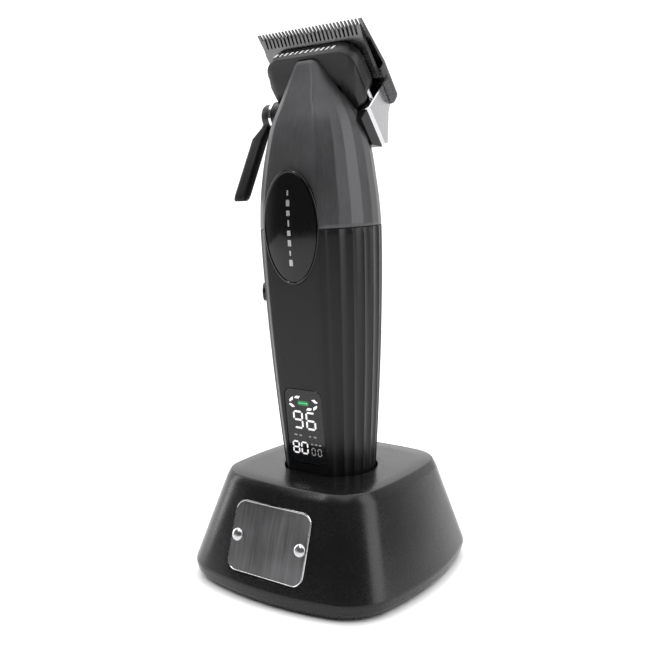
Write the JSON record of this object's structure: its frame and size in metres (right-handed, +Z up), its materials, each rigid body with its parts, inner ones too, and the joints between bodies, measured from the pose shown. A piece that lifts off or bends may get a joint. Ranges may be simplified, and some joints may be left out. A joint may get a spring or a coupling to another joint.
{
  "type": "hair clipper",
  "caption": "Cordless hair clipper with a fluted barrel, flat display front, taper lever and slanted steel blades, standing in a flared charging dock.",
  "frame": {"origin": "bottom centre of the dock, on the surface it stands on", "axes": "+Z up; -Y towards the flat front with the display; +X to the right of that front; the taper lever is on -X"},
  "size_m": [0.093, 0.0998, 0.206],
  "materials": {
    "satin_black_plastic": "satin, moulded",
    "gunmetal_shell": "satin anodised",
    "black_shell": "satin, fluted",
    "gloss_black": "polished",
    "display_glass": "polished, tinted",
    "head_black": "satin",
    "chrome": "polished",
    "blade_steel": "ground",
    "dark_steel": "dark brushed",
    "steel_hardware": "plain",
    "copper_brass": "plain",
    "rubber_black": "matte",
    "board_green": "solder mask",
    "battery_wrap": "shrink sleeve",
    "inner_plastic": "moulded",
    "magnet": "sintered",
    "ballast_steel": "cast"
  },
  "bodies": {
    "dock": {"dock_housing": "satin_black_plastic", "dock_cradle": "satin_black_plastic", "contact_holder": "inner_plastic", "contact_springs": "steel_hardware", "dock_base_plate": "satin_black_plastic", "dock_base_screws": "steel_hardware", "dock_feet": "rubber_black", "dock_ballast": "ballast_steel", "dock_pcb": "board_green", "dock_power_socket": "steel_hardware", "dock_nameplate": "dark_steel", "nameplate_screws": "chrome"},
    "contacts": {"contact_pins": "copper_brass"},
    "clipper": {"upper_shell": "gunmetal_shell", "lower_shell": "black_shell", "bottom_cap": "black_shell", "charge_contacts": "copper_brass", "oval_badge": "gloss_black", "display_window": "display_glass", "display_module": "board_green", "tact_switch": "inner_plastic", "chassis": "inner_plastic", "battery_cell": "battery_wrap", "battery_tabs": "steel_hardware", "main_board": "board_green", "motor_can": "steel_hardware", "motor_magnets": "magnet", "motor_end_cap": "inner_plastic", "motor_bushes": "copper_brass", "motor_brushes": "copper_brass", "motor_mount": "inner_plastic", "motor_mount_screws": "steel_hardware", "head_block": "head_black", "head_screws": "steel_hardware", "heel_bracket": "head_black", "heel_block": "chrome", "tension_spring": "steel_hardware"},
    "rotor": {"rotor_shaft": "steel_hardware", "rotor_core": "steel_hardware", "commutator": "copper_brass", "eccentric_cam": "inner_plastic"},
    "button": {"power_button": "satin_black_plastic"},
    "cutter": {"cutter_blade": "blade_steel", "yoke_screws": "steel_hardware", "drive_yoke": "inner_plastic"},
    "comb": {"comb_blade": "blade_steel", "comb_screws": "steel_hardware", "comb_slide": "steel_hardware"},
    "lever": {"taper_lever": "head_black", "lever_shaft": "steel_hardware", "lever_screw": "chrome", "lever_washer": "chrome"}
  },
  "joints": [
    {"name": "clipper_lift", "type": "slide", "parent": "dock", "child": "clipper", "axis": [0, -0.0767, 0.9971], "range_m": [0, 0.045]},
    {"name": "contact_press", "type": "slide", "parent": "dock", "child": "contacts", "axis": [0, -0.0767, 0.9971], "range_m": [-0.001, 0], "stiffness_N_per_m": 300, "deforming": ["contact_springs"]},
    {"name": "motor_spin", "type": "hinge", "parent": "clipper", "child": "rotor", "pos_m": [0, -0.00988, 0.14266], "axis": [0, -0.0767, 0.9971], "continuous": true},
    {"name": "cutter_stroke", "type": "slide", "parent": "clipper", "child": "cutter", "axis": [1, 0, 0], "range_m": [-0.0012, 0.0012]},
    {"name": "taper_swing", "type": "hinge", "parent": "clipper", "child": "lever", "pos_m": [-0.019, -0.01293, 0.17647], "axis": [-1, 0, 0], "range_deg": [0, 35]},
    {"name": "comb_adjust", "type": "slide", "parent": "clipper", "child": "comb", "axis": [0, 0.6947, -0.7193], "range_m": [0, 0.0016]},
    {"name": "power_press", "type": "slide", "parent": "clipper", "child": "button", "axis": [0.8829, 0.4681, 0.036], "range_m": [0, 0.0005], "stiffness_N_per_m": 800}
  ],
  "couplings": [
    {"joint": "taper_swing", "follows": "comb_adjust", "rad_per_m": 381.79}
  ]
}
